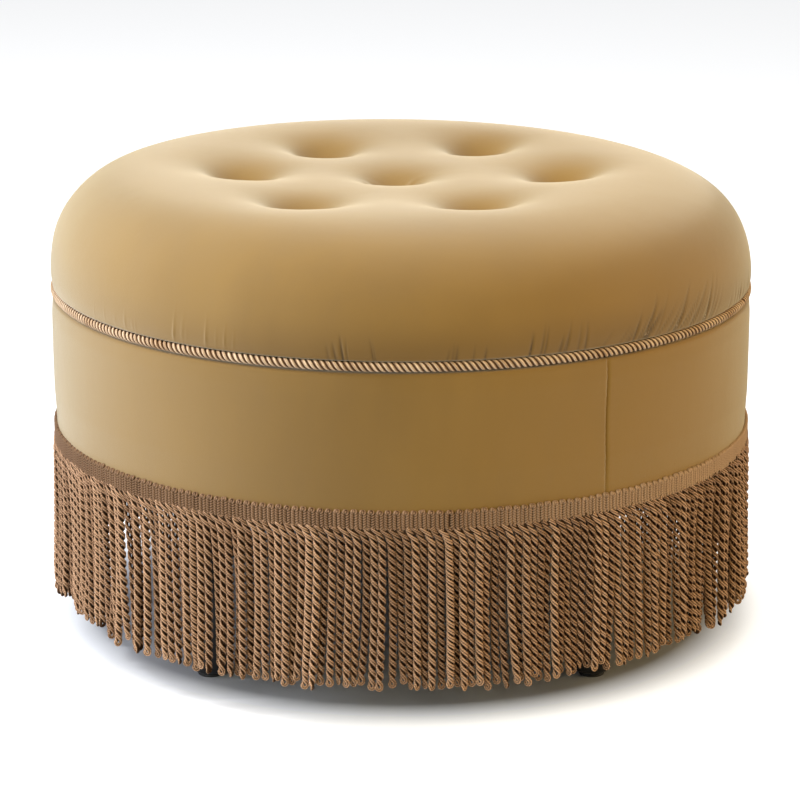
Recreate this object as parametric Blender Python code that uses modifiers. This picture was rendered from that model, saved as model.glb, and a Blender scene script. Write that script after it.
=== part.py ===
"""Round tufted ottoman: a padded lid lifts off a storage drum that stands on four legs behind a bullion fringe.

Metres, +Z up, +Y to the back. The origin is on the floor, under the centre of the drum.
Run with Blender 4.5, in the background or from the text editor.
"""

import math

import bmesh
import bpy
from mathutils import Matrix, Vector

# ---- Driving dimensions --------------------------------------------------------------------------

GAP = 0.0003                    # clearance kept between pieces that touch
FABRIC = 0.0012                 # thickness of the velvet and of the linings
BOARD = 0.012                   # plywood thickness of the lid, the hoop and the bottom

BAND_RADIUS = 0.3475            # outside of the velvet side band
SEAT_RADIUS = 0.3490            # widest part of the cushion
ROPE_RADIUS = 0.3453            # centre line of the rope
ROPE_THICKNESS = 0.0095
ROPE_Z = 0.352
CROWN_HEIGHT = 0.121            # top of the cushion above the rope
SHOULDER_HEIGHT = 0.012         # widest part of the cushion above the rope
CROWN_FLATNESS = 7.0            # how flat the cushion's top is, 2 being an ellipse
SHOULDER_FULLNESS = 2.2         # how square the cushion's shoulder is, 2 being an ellipse
WADDING = 0.008

HEADER_TOP_Z = 0.217            # woven tape at the top of the fringe
HEADER_BOTTOM_Z = 0.1945
FRINGE_BOTTOM_Z = 0.047
FRINGE_INNER_RADIUS = 0.3478
FRINGE_OUTER_RADIUS = 0.3535

WALL_INNER_RADIUS = 0.326
WALL_OUTER_RADIUS = 0.334
MOUTH_RADIUS = 0.3005           # inside of the hoop at the drum's mouth

TUFTS_MM = ((-7, -7), (158, -2), (80, 143), (-81, 133), (-159, 7), (-96, -147), (70, -147))  # tied by hand
TUFT_DEPTH = 0.034
TUFT_FLOOR_RADIUS = 0.011
TUFT_MOUTH_RADIUS = 0.040

LEG_OFFSET = 0.186              # each leg's distance from both centre planes
LEG_RADIUS = 0.0176
GLIDE_HEIGHT = 0.003

DRUM_SEGMENTS = 48
LID_SEGMENTS = 40
SMALL_SEGMENTS = 14
TINY_SEGMENTS = 8

# ---- Levels that follow from them ----------------------------------------------------------------

CROWN_Z = ROPE_Z + CROWN_HEIGHT
RIM_Z = ROPE_Z - ROPE_THICKNESS / 2 - 0.001     # top of the velvet on the drum's rim
LID_BOTTOM_Z = RIM_Z + GAP
LID_BOARD_Z = LID_BOTTOM_Z + FABRIC + GAP
CUSHION_Z = LID_BOARD_Z + BOARD + GAP           # underside of the foam
LID_SIDE_RADIUS = ROPE_RADIUS - ROPE_THICKNESS / 2 - GAP
LID_BOARD_RADIUS = LID_SIDE_RADIUS - FABRIC - GAP

DUST_COVER_Z = HEADER_BOTTOM_Z - 0.0005
DRUM_BOTTOM_Z = DUST_COVER_Z + 0.0008 + GAP     # underside of the velvet turned under the drum
BASE_BOARD_Z = DRUM_BOTTOM_Z + FABRIC + GAP
COMPARTMENT_Z = BASE_BOARD_Z + BOARD + GAP
WALL_TOP_Z = RIM_Z - FABRIC - GAP
HOOP_Z = WALL_TOP_Z - BOARD

TUFT_FLOOR_Z = CROWN_Z - TUFT_DEPTH
TUFT_CUT_Z = CROWN_Z + 0.006                    # the tuft cutters' upper ends, clear of the crown
LEG_TOP_Z = DUST_COVER_Z - GAP

CLEARANCE_HOLE = 0.0056                         # radius round each leg bolt and its nut's barrel
TWINE_RADIUS = 0.0009


def tuft_places():
    """The seven tufts' centres: one near the middle and six round it."""
    return [Vector((x / 1000, y / 1000, 0)) for x, y in TUFTS_MM]


def leg_places():
    return [
        Vector((x * LEG_OFFSET, y * LEG_OFFSET, 0))
        for x, y in ((-1, -1), (1, -1), (1, 1), (-1, 1))
    ]


# ---- Scene helpers -------------------------------------------------------------------------------

def clear_scene():
    for obj in list(bpy.data.objects):
        bpy.data.objects.remove(obj, do_unlink=True)


def new_collection(name):
    collection = bpy.data.collections.new(name)
    bpy.context.scene.collection.children.link(collection)
    return collection


def finish(name, colour, roughness, metallic=0.0):
    """A plain Principled material."""
    material = bpy.data.materials.new(name)
    material.use_nodes = True
    shader = material.node_tree.nodes["Principled BSDF"]
    shader.inputs["Base Color"].default_value = (*colour, 1.0)
    shader.inputs["Roughness"].default_value = roughness
    shader.inputs["Metallic"].default_value = metallic
    return material


def new_empty(name, height, collection, parent=None):
    empty = bpy.data.objects.new(name, None)
    empty.location = (0, 0, height)
    empty.empty_display_size = 0.05
    empty.parent = parent
    collection.objects.link(empty)
    return empty


def add_piece(name, mesh, parent, place=(0, 0, 0)):
    """A named object of the ottoman, at a place given in the ottoman's own frame."""
    obj = bpy.data.objects.new(name, mesh)
    obj.parent = parent
    obj.location = Vector(place) - parent.location
    PARTS.objects.link(obj)
    return obj


def profile_mesh(name, points, material, closed):
    """Points (radius, height) joined by edges: half of a turned shape, running down its outer side."""
    mesh = bpy.data.meshes.new(name)
    edges = [(i, i + 1) for i in range(len(points) - 1)]
    if closed:
        edges.append((len(points) - 1, 0))
    mesh.from_pydata([(r, 0, z) for r, z in points], edges, [])
    mesh.materials.append(material)
    return mesh


def turn(obj, segments):
    """Turns a profile all the way round the object's Z axis."""
    screw = obj.modifiers.new("Turn", "SCREW")
    screw.axis = "Z"
    screw.angle = math.tau
    screw.steps = segments
    screw.render_steps = segments
    screw.use_merge_vertices = True
    screw.merge_threshold = 0.00005
    screw.use_smooth_shade = True
    return obj


def turned(name, points, material, parent, segments=DRUM_SEGMENTS, closed=False, place=(0, 0, 0)):
    mesh = profile_mesh(name, points, material, closed)
    return turn(add_piece(name, mesh, parent, place), segments)


def disc(name, radius, low, high, material, parent, segments=DRUM_SEGMENTS):
    points = [(0, high), (radius, high), (radius, low), (0, low)]
    return turned(name, points, material, parent, segments)


def ring(name, inner, outer, low, high, material, parent, segments=DRUM_SEGMENTS, chamfer=0.0):
    """A turned ring of rectangular section, with its four edges eased when a chamfer is given."""
    if not chamfer:
        points = [(inner, high), (outer, high), (outer, low), (inner, low)]
    else:
        points = [
            (inner + chamfer, high), (outer - chamfer, high),
            (outer, high - chamfer), (outer, low + chamfer),
            (outer - chamfer, low), (inner + chamfer, low),
            (inner, low + chamfer), (inner, high - chamfer),
        ]
    return turned(name, points, material, parent, segments, closed=True)


def cutter_from(name, build):
    """A guide object that only cuts others; build fills its mesh."""
    mesh = bpy.data.meshes.new(name)
    work = bmesh.new()
    build(work)
    work.to_mesh(mesh)
    work.free()
    obj = bpy.data.objects.new(name, mesh)
    CUTTERS.objects.link(obj)
    return as_guide(obj)


def as_guide(obj):
    obj.hide_render = True
    obj.display_type = "WIRE"
    return obj


def add_cone(work, place, low, high, low_radius, high_radius, segments):
    bmesh.ops.create_cone(
        work,
        cap_ends=True,
        segments=segments,
        radius1=low_radius,
        radius2=high_radius,
        depth=high - low,
        matrix=Matrix.Translation(place + Vector((0, 0, (low + high) / 2))),
    )


def upright_cutter(name, places, low, high, low_radius, high_radius=None, segments=SMALL_SEGMENTS):
    """One cutter made of a straight or tapered pin at each place."""
    def build(work):
        for place in places:
            add_cone(work, place, low, high, low_radius, high_radius or low_radius, segments)
    return cutter_from(name, build)


def cut(obj, cutter):
    boolean = obj.modifiers.new("Cut " + cutter.name, "BOOLEAN")
    boolean.operation = "DIFFERENCE"
    boolean.solver = "EXACT"
    boolean.object = cutter


# ---- The lid -------------------------------------------------------------------------------------

def crown_points(inset, steps=7):
    """The cushion's outline from the middle of its top down to its widest part, drawn in by inset."""
    points = []
    for i in range(steps + 1):
        angle = math.pi / 2 * (1 - i / steps)
        across = max(math.cos(angle), 0.0) ** (2 / CROWN_FLATNESS) if i else 0.0
        up = math.sin(angle) ** (2 / SHOULDER_FULLNESS)
        rise = CROWN_HEIGHT - SHOULDER_HEIGHT - inset
        points.append(((SEAT_RADIUS - inset) * across, ROPE_Z + SHOULDER_HEIGHT + rise * up))
    return points


def crease_points(inset):
    """Below its widest part the cushion tucks in above the rope, to the edge of the lid board."""
    tuck = ROPE_Z + ROPE_THICKNESS / 2 + GAP
    return [
        (SEAT_RADIUS - 0.003 - inset, tuck + 0.002 + inset),
        (LID_SIDE_RADIUS - inset, tuck + inset),
    ]


def tuft_cutter(name, grow):
    """Seven tapered pits for the tufts, larger all round by grow."""
    return upright_cutter(
        name,
        tuft_places(),
        TUFT_FLOOR_Z - grow,
        TUFT_CUT_Z,
        TUFT_FLOOR_RADIUS + grow,
        TUFT_MOUTH_RADIUS + 1.25 * grow,
    )


def twine_cutter():
    low = LID_BOTTOM_Z - 0.01
    return upright_cutter("twine_holes", tuft_places(), low, CROWN_Z, 0.0015, segments=TINY_SEGMENTS)


def cover_core(lid):
    """The space inside the velvet cover, open below, used as a cutter."""
    mouth = LID_BOTTOM_Z - 0.01
    side = LID_SIDE_RADIUS - FABRIC
    points = crown_points(FABRIC) + crease_points(FABRIC) + [
        (side, LID_BOTTOM_Z + FABRIC),
        (MOUTH_RADIUS, LID_BOTTOM_Z + FABRIC),
        (MOUTH_RADIUS, mouth),
        (0, mouth),
    ]
    core = turned("cover_core", points, VELVET, lid, LID_SEGMENTS)
    PARTS.objects.unlink(core)
    CUTTERS.objects.link(core)
    cut(core, tuft_cutter("cover_core_tufts", FABRIC))
    return as_guide(core)


def make_seat_cover(lid, twine_holes):
    """Velvet pulled over the crown, into the tufts, and under the edge of the board."""
    points = crown_points(0) + crease_points(0) + [(LID_SIDE_RADIUS, LID_BOTTOM_Z), (0, LID_BOTTOM_Z)]
    cover = turned("seat_cover", points, VELVET, lid, LID_SEGMENTS)
    cut(cover, tuft_cutter("cover_tufts", 0))
    cut(cover, cover_core(lid))
    cut(cover, twine_holes)


def make_seat_wadding(lid, pits):
    """Polyester layer between the velvet and the foam, open at each tuft."""
    outer = FABRIC + GAP
    inner = outer + WADDING
    outside = [p for p in crown_points(outer) if p[1] > CUSHION_Z]
    inside = [p for p in crown_points(inner) if p[1] > CUSHION_Z]
    points = (
        outside
        + [(SEAT_RADIUS - 0.004 - outer, CUSHION_Z)]
        + [(SEAT_RADIUS - inner, CUSHION_Z)]
        + inside[::-1]
    )
    wadding = turned("seat_wadding", points, WADDING_WHITE, lid, LID_SEGMENTS)
    cut(wadding, pits)


def make_seat_foam(lid, pits, twine_holes):
    inset = FABRIC + WADDING + 2 * GAP
    side = SEAT_RADIUS - inset
    points = [p for p in crown_points(inset) if p[1] > CUSHION_Z] + [(side, CUSHION_Z), (0, CUSHION_Z)]
    foam = turned("seat_foam", points, FOAM, lid, LID_SEGMENTS)
    cut(foam, pits)
    cut(foam, twine_holes)


def make_lid_board(lid, twine_holes):
    top = LID_BOARD_Z + BOARD
    board = disc("lid_board", LID_BOARD_RADIUS, LID_BOARD_Z, top, PLYWOOD, lid, LID_SEGMENTS)
    cut(board, twine_holes)


def make_tuft_fixings(lid):
    """A covered button, its twine and the washer that the twine is tied off on, for each tuft."""
    radius = TUFT_FLOOR_RADIUS - 0.0015
    seat = TUFT_FLOOR_Z + GAP
    button = [(0, seat + 0.006), (radius * 0.55, seat + 0.0052), (radius * 0.9, seat + 0.003),
              (radius, seat + 0.0012), (radius * 0.85, seat), (0, seat)]
    washer_top = LID_BOARD_Z - GAP
    washer_low = washer_top - 0.0015
    knot = washer_low - GAP
    twine = [(0, TUFT_FLOOR_Z), (TWINE_RADIUS, TUFT_FLOOR_Z), (TWINE_RADIUS, knot), (0.0024, knot - 0.0002),
             (0.0024, knot - 0.0022), (0, knot - 0.003)]
    for number, place in enumerate(tuft_places(), start=1):
        turned(f"tuft_button_{number}", button, VELVET_BUTTON, lid, TINY_SEGMENTS, place=place)
        turned(f"tuft_twine_{number}", twine, TWINE, lid, TINY_SEGMENTS, place=place)
        washer = ((0.0015, washer_top), (0.010, washer_top), (0.010, washer_low), (0.0015, washer_low))
        turned(f"tuft_washer_{number}", washer, WASHER_STEEL, lid, TINY_SEGMENTS, closed=True, place=place)


def make_lid_rope(lid):
    """Twisted cord sewn round the crease between the cushion and the drum, drawn here as a plain ring."""
    bpy.ops.mesh.primitive_torus_add(
        major_radius=ROPE_RADIUS,
        minor_radius=ROPE_THICKNESS / 2,
        major_segments=LID_SEGMENTS,
        minor_segments=TINY_SEGMENTS,
    )
    rope = bpy.context.object
    rope.name = "lid_rope"
    for collection in list(rope.users_collection):
        collection.objects.unlink(rope)
    PARTS.objects.link(rope)
    rope.parent = lid
    rope.location = Vector((0, 0, ROPE_Z)) - lid.location
    rope.data.materials.append(ROPE_YARN)
    rope.data.shade_smooth()


def make_lid_underside(lid):
    """The ring that drops into the drum's mouth, and the lining panel inside it."""
    outer = MOUTH_RADIUS - 0.002
    inner = outer - 0.0115
    ring("locating_ring", inner, outer, LID_BOTTOM_Z - 0.0135, LID_BOARD_Z - GAP, RING_PLYWOOD, lid,
         chamfer=0.0015)
    disc("lid_lining", inner - GAP, LID_BOTTOM_Z - 0.0062, LID_BOTTOM_Z - 0.0042, LID_LINING_CLOTH, lid)


# ---- The drum ------------------------------------------------------------------------------------

def make_drum_frame(base):
    """Plywood bottom, bent wall and mouth hoop."""
    board = disc("base_board", WALL_OUTER_RADIUS, BASE_BOARD_Z, BASE_BOARD_Z + BOARD, BASE_PLYWOOD, base)
    bolt_holes = upright_cutter("leg_bolt_holes", leg_places(), LEG_TOP_Z, COMPARTMENT_Z, CLEARANCE_HOLE)
    top = BASE_BOARD_Z + BOARD
    recesses = upright_cutter("leg_nut_recesses", leg_places(), top - 0.0021, top + 0.004, 0.0112)
    cut(board, bolt_holes)
    cut(board, recesses)
    ring("drum_wall", WALL_INNER_RADIUS, WALL_OUTER_RADIUS, COMPARTMENT_Z, WALL_TOP_Z, WALL_PLYWOOD, base)
    ring("top_hoop", MOUTH_RADIUS, WALL_INNER_RADIUS - GAP, HOOP_Z, WALL_TOP_Z, HOOP_PLYWOOD, base,
         chamfer=0.0015)
    cloth = disc("dust_cover", WALL_OUTER_RADIUS - 0.004, DUST_COVER_Z, DUST_COVER_Z + 0.0008, BLACK_CLOTH, base)
    cut(cloth, bolt_holes)


def make_side_padding(base):
    outer = BAND_RADIUS - FABRIC - GAP
    ring("side_padding", WALL_OUTER_RADIUS + GAP, outer, BASE_BOARD_Z, WALL_TOP_Z, PADDING_FOAM, base)


def make_side_cover(base):
    """Velvet band with one edge turned over the rim and the other turned under the bottom board."""
    ease = 0.003
    over = MOUTH_RADIUS + 0.002
    under = WALL_OUTER_RADIUS - 0.020
    points = [
        (over, RIM_Z), (BAND_RADIUS - ease, RIM_Z), (BAND_RADIUS, RIM_Z - ease),
        (BAND_RADIUS, DRUM_BOTTOM_Z + ease), (BAND_RADIUS - ease, DRUM_BOTTOM_Z), (under, DRUM_BOTTOM_Z),
        (under, DRUM_BOTTOM_Z + FABRIC), (BAND_RADIUS - FABRIC, DRUM_BOTTOM_Z + FABRIC),
        (BAND_RADIUS - FABRIC, RIM_Z - FABRIC), (over, RIM_Z - FABRIC),
    ]
    turned("side_cover", points, BAND_VELVET, base, closed=True)


def make_compartment_linings(base):
    outer = WALL_INNER_RADIUS - GAP
    inner = outer - FABRIC
    panel_top = COMPARTMENT_Z + 0.002
    ring("wall_lining", inner, outer, COMPARTMENT_Z, HOOP_Z - GAP, WALL_LINING_CLOTH, base)
    disc("floor_lining", inner - GAP, COMPARTMENT_Z, panel_top, FLOOR_LINING_CLOTH, base)


def make_fringe(base):
    """The woven tape and, below it, the hanging strands as one plain skirt."""
    ring("fringe_header", FRINGE_INNER_RADIUS, FRINGE_INNER_RADIUS + 0.0027, HEADER_BOTTOM_Z, HEADER_TOP_Z,
         HEADER_YARN, base)
    ring("fringe_skirt", FRINGE_INNER_RADIUS, FRINGE_OUTER_RADIUS, FRINGE_BOTTOM_Z, HEADER_BOTTOM_Z - GAP,
         FRINGE_YARN, base)


def make_legs(base):
    """Four straight legs, each with a glide below and a bolt that runs up into a flanged nut in the board."""
    low = GLIDE_HEIGHT + GAP
    socket = LEG_TOP_Z - 0.042
    leg = [(0, socket), (0.0043, socket), (0.0043, LEG_TOP_Z), (LEG_RADIUS - 0.001, LEG_TOP_Z),
           (LEG_RADIUS, LEG_TOP_Z - 0.001), (LEG_RADIUS, low + 0.005), (LEG_RADIUS - 0.0015, low + 0.0015),
           (LEG_RADIUS - 0.005, low), (0, low)]
    glide = [(0, GLIDE_HEIGHT), (0.0125, GLIDE_HEIGHT), (0.0125, 0.001), (0.0115, 0), (0, 0)]
    nut_top = COMPARTMENT_Z - GAP - 0.0003
    flange_low = nut_top - 0.0013
    nut = [(0.0043, nut_top), (0.0106, nut_top), (0.0106, flange_low), (0.0052, flange_low),
           (0.0052, nut_top - 0.0095), (0.0043, nut_top - 0.0095)]
    bolt_top = nut_top - 0.0005
    bolt = [(0, bolt_top), (0.0032, bolt_top), (0.004, bolt_top - 0.0008), (0.004, socket + 0.002),
            (0.0028, socket + GAP), (0, socket + GAP)]
    for number, place in enumerate(leg_places(), start=1):
        turned(f"leg_{number}", leg, LEG_BLACK, base, SMALL_SEGMENTS, place=place)
        turned(f"leg_glide_{number}", glide, GLIDE_PLASTIC, base, SMALL_SEGMENTS, place=place)
        turned(f"leg_nut_{number}", nut, NUT_STEEL, base, TINY_SEGMENTS, closed=True, place=place)
        turned(f"leg_bolt_{number}", bolt, BOLT_STEEL, base, TINY_SEGMENTS, place=place)


# ---- Colours -------------------------------------------------------------------------------------

GOLD = (0.42, 0.27, 0.09)
YARN = (0.36, 0.23, 0.12)
BIRCH = (0.62, 0.47, 0.30)
BEIGE = (0.52, 0.44, 0.34)
ZINC = (0.62, 0.62, 0.60)

clear_scene()
PARTS = new_collection("tufted_ottoman")
CUTTERS = new_collection("tufted_ottoman_cutters")

VELVET = finish("seat velvet", GOLD, 0.85)
VELVET_BUTTON = finish("button velvet", GOLD, 0.85)
BAND_VELVET = finish("band velvet", GOLD, 0.85)
ROPE_YARN = finish("rope yarn", YARN, 0.7)
HEADER_YARN = finish("header yarn", YARN, 0.7)
FRINGE_YARN = finish("fringe yarn", YARN, 0.7)
PLYWOOD = finish("lid plywood", BIRCH, 0.6)
RING_PLYWOOD = finish("ring plywood", BIRCH, 0.6)
BASE_PLYWOOD = finish("base plywood", BIRCH, 0.6)
WALL_PLYWOOD = finish("wall plywood", BIRCH, 0.6)
HOOP_PLYWOOD = finish("hoop plywood", BIRCH, 0.6)
FOAM = finish("seat foam", (0.80, 0.74, 0.55), 0.95)
PADDING_FOAM = finish("side padding foam", (0.78, 0.78, 0.74), 0.95)
WADDING_WHITE = finish("wadding", (0.86, 0.86, 0.84), 0.95)
LID_LINING_CLOTH = finish("lid lining cloth", BEIGE, 0.9)
WALL_LINING_CLOTH = finish("wall lining cloth", BEIGE, 0.9)
FLOOR_LINING_CLOTH = finish("floor lining cloth", BEIGE, 0.9)
BLACK_CLOTH = finish("dust cover cloth", (0.02, 0.02, 0.02), 0.95)
TWINE = finish("tufting twine", (0.75, 0.70, 0.58), 0.8)
WASHER_STEEL = finish("washer steel", ZINC, 0.35, 1.0)
NUT_STEEL = finish("nut steel", ZINC, 0.35, 1.0)
BOLT_STEEL = finish("bolt steel", ZINC, 0.35, 1.0)
LEG_BLACK = finish("leg black", (0.012, 0.012, 0.013), 0.45)
GLIDE_PLASTIC = finish("glide plastic", (0.03, 0.03, 0.03), 0.5)


def build():
    root = new_empty("ottoman", 0, PARTS)
    lid = new_empty("lid_lift_axis", LID_BOTTOM_Z, PARTS, root)
    twine_holes = twine_cutter()
    pits = tuft_cutter("padding_tufts", FABRIC + GAP)
    make_lid_board(lid, twine_holes)
    make_seat_foam(lid, pits, twine_holes)
    make_seat_wadding(lid, pits)
    make_seat_cover(lid, twine_holes)
    make_tuft_fixings(lid)
    make_lid_rope(lid)
    make_lid_underside(lid)
    make_drum_frame(root)
    make_side_padding(root)
    make_side_cover(root)
    make_compartment_linings(root)
    make_fringe(root)
    make_legs(root)


build()
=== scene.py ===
"""Looks of the round tufted ottoman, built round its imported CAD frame. Metres, +Z up, +Y to the back."""

import math

import bpy
import numpy as np
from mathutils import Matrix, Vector


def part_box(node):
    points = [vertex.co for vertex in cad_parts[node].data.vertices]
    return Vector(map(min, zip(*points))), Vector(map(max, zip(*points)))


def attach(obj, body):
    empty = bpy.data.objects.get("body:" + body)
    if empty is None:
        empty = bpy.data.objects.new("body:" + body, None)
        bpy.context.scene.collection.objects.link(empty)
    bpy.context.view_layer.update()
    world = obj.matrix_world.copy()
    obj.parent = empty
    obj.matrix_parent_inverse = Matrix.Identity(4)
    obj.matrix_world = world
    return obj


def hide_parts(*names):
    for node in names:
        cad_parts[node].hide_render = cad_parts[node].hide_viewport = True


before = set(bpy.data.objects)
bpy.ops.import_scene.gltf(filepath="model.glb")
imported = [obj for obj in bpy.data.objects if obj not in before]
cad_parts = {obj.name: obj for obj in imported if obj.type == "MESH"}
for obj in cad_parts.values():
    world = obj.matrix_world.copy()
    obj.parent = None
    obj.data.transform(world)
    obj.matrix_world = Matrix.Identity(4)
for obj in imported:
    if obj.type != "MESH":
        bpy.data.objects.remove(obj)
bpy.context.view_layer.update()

TAU = math.tau
FRONT = -math.pi / 2  # the angle of the object's front; angles grow to its right
MM = 0.001

# ---- Sizes that follow the CAD frame ----

RIM_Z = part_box("side_cover")[1].z  # top of the velvet on the drum's rim
DRUM_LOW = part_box("side_cover")[0].z
BAND_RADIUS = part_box("side_cover")[1].x
LID_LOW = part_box("seat_cover")[0].z
BOARD_LOW, BOARD_TOP = (corner.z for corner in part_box("lid_board"))
SIDE_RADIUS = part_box("lid_board")[1].x + 1.5 * MM  # velvet on the lid board's edge
ROPE_LOW, ROPE_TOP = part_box("lid_rope")
ROPE_Z = (ROPE_LOW.z + ROPE_TOP.z) / 2
ROPE_RADIUS = ROPE_TOP.x - (ROPE_TOP.z - ROPE_LOW.z) / 2
HEADER_LOW, HEADER_TOP = (corner.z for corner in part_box("fringe_header"))
HEADER_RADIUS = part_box("fringe_header")[1].x
FRINGE_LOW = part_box("fringe_skirt")[0].z
MOUTH_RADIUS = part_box("locating_ring")[1].x + 2 * MM
FABRIC = 1.2 * MM


def new_object(name, data):
    made = bpy.data.objects.new(name, data)
    bpy.context.scene.collection.objects.link(made)
    return made


# ---- Materials ----

class Finish:
    """A procedural material under construction, with short calls for the nodes it uses."""

    def __init__(self, name, **sockets):
        self.material = bpy.data.materials.new(name)
        self.material.use_nodes = True
        self.tree = self.material.node_tree
        self.shader = self.tree.nodes["Principled BSDF"]
        self.coords = self.node("TexCoord")
        for socket, value in sockets.items():
            self.shader.inputs[socket.replace("_", " ")].default_value = value

    def feed(self, socket, value):
        if hasattr(value, "is_output"):
            self.tree.links.new(value, socket)
        else:
            socket.default_value = value

    def node(self, kind, inputs=None, **settings):
        node = self.tree.nodes.new("ShaderNode" + kind)
        for key, value in settings.items():
            setattr(node, key, value)
        for key, value in (inputs or {}).items():
            self.feed(node.inputs[key], value)
        return node

    def split(self, output):
        return self.node("SeparateXYZ", {"Vector": self.coords.outputs[output]}).outputs

    def tone(self):
        """A number that the mesh carries on its points: see make_piece."""
        return self.node("Attribute", attribute_name="tone").outputs["Fac"]

    def noise(self, scale, detail=3.0, rough=0.55, stretch=None, distortion=0.0):
        vector = self.coords.outputs["Object"]
        if stretch:
            vector = self.node("Mapping", {"Vector": vector, "Scale": stretch}).outputs[0]
        return self.node("TexNoise", {"Vector": vector, "Scale": scale, "Detail": detail, "Roughness": rough,
                                      "Distortion": distortion}).outputs["Fac"]

    def math(self, operation, a, b=0.0, c=0.0):
        return self.node("Math", {0: a, 1: b, 2: c}, operation=operation).outputs[0]

    def span(self, value, low, high, to_low=0.0, to_high=1.0):
        return self.node("MapRange", {"Value": value, "From Min": low, "From Max": high, "To Min": to_low,
                                      "To Max": to_high}).outputs[0]

    def mix(self, share, a, b):
        node = self.node("Mix", data_type="RGBA")
        for key, value in (("Factor", share), ("A", a), ("B", b)):
            socket = next(s for s in node.inputs if s.name == key and s.enabled)
            self.feed(socket, (*value, 1.0) if isinstance(value, tuple) else value)
        return next(s for s in node.outputs if s.enabled)

    def bump(self, height, strength, distance, below=None):
        inputs = {"Height": height, "Strength": strength, "Distance": distance}
        if below:
            inputs["Normal"] = below
        return self.node("Bump", inputs).outputs[0]

    def done(self, colour, rough, normal):
        for key, value in (("Base Color", colour), ("Roughness", rough), ("Normal", normal)):
            self.feed(self.shader.inputs[key], value)
        return self.material


def velvet(name, dark, light, stretch=None, crease_shade_height=None):
    """Short pile, cloudy, with painted sheen: paler at the left, where light falls, more golden at the right.

    crease_shade_height is where painted shade on a cushion's cover is darkest, as it goes in behind its rope.
    Such a cover's tone says how deep in a fold each point is; it paints shade in the folds.
    """
    f = Finish(name, Sheen_Weight=0.85, Sheen_Roughness=0.50, Sheen_Tint=(1.0, 0.94, 0.80, 1.0),
               Specular_IOR_Level=0.3)
    across, _, height = f.split("Object")
    clouds = f.span(f.noise(5.0, 3.0, 0.5, stretch=stretch, distortion=0.6), 0.3, 0.7)
    streaks = f.noise(28.0, 4.0, 0.6, stretch=stretch)
    grain = f.noise(1500.0, 2.0, 0.6)
    share = f.math("MULTIPLY_ADD", clouds, 0.55, f.math("MULTIPLY", streaks, 0.45))
    colour = f.mix(share, dark, light)
    colour = f.mix(f.span(grain, 0.3, 0.7, 0.0, 0.16), colour, (0.16, 0.09, 0.02))
    # Painted sheen: paler at the left, where the light falls; more golden, with less sheen, at the right.
    colour = f.mix(f.span(across, -0.34, -0.04, 0.40, 0.0), colour, (0.27, 0.178, 0.068))
    colour = f.mix(f.span(across, 0.0, 0.33, 0.0, 0.75), colour, (0.235, 0.118, 0.003))
    # Painted shade near the rope, where the cover goes in behind it; weaker at the left.
    if crease_shade_height:
        near = f.node("MapRange", {"Value": height, "From Min": crease_shade_height, "From Max": crease_shade_height + 0.045,
                                   "To Min": 0.5, "To Max": 0.0}, interpolation_type="SMOOTHSTEP").outputs[0]
        near = f.math("MULTIPLY", near, f.span(across, -0.30, -0.05, 0.25, 1.0))
        colour = f.mix(near, colour, (0.105, 0.050, 0.007))
        # Painted shade in the gather folds, from the tone that the gathers give.
        colour = f.mix(f.math("MULTIPLY", f.tone(), 0.95), colour, (0.030, 0.013, 0.002))
    rough = f.span(streaks, 0.3, 0.7, 0.78, 0.9)
    return f.done(colour, rough, f.bump(grain, 0.35, 0.0003, f.bump(streaks, 0.12, 0.002)))


def yarn(name, dark, light, crevice_shade, rough, ridges, outer=None, hollow=None, seam=False):
    """Twisted yarn. The map runs round the yarn in U and along it, in metres, in V.

    ridges are how many times the fine lines wind round it and the length of one turn. outer is the U that
    faces away from the cord's middle: away from it over the span in hollow, and in a seam at it, the yarn has
    painted crevice shade. Yarn without an outer side has that painted shade where its tone is low, painted
    shade at the left and painted light at the right.
    """
    f = Finish(name, Specular_IOR_Level=0.02)
    u, v, _ = f.split("UV")
    twist = f.math("MULTIPLY_ADD", u, ridges[0] * TAU, f.math("MULTIPLY", v, TAU / ridges[1]))
    ridge = f.math("MULTIPLY_ADD", f.math("SINE", twist), 0.5, 0.5)
    fibre = f.noise(900.0, 2.0, 0.6)
    tone = f.tone()
    share = f.math("MULTIPLY_ADD", fibre, 0.25, f.math("MULTIPLY", tone, 0.35))
    share = f.math("MULTIPLY_ADD", ridge, 0.4, share)
    colour = f.mix(share, dark, light)
    if outer is None:
        # Painted shade where the tone is low, between the beads of the header yarn.
        colour = f.mix(f.span(tone, -0.25, 0.25, 0.92, 0.0), colour, crevice_shade)
        # Painted shade at the left and painted light at the right, after how the light falls.
        across = f.split("Object")[0]
        colour = f.mix(f.span(across, -0.32, -0.10, 0.28, 0.0), colour, crevice_shade)
        colour = f.mix(f.span(across, 0.05, 0.27, 0.0, 0.45), colour, (0.62, 0.44, 0.29))
    else:
        # Painted shade on the side of each ply that faces the cord's middle, and in the seam between its
        # yarns.
        away = f.math("ABSOLUTE", f.math("SINE", f.math("MULTIPLY_ADD", u, math.pi, -outer * math.pi)))
        colour = f.mix(f.span(away, *hollow, 0.0, 0.93), colour, crevice_shade)
        if seam:
            colour = f.mix(f.span(away, 0.05, 0.36, 0.9, 0.0), colour, crevice_shade)
    return f.done(colour, f.span(fibre, 0.3, 0.7, rough - 0.06, rough + 0.08),
                  f.bump(ridge, 0.5, 0.0003, f.bump(fibre, 0.3, 0.0002)))


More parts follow.
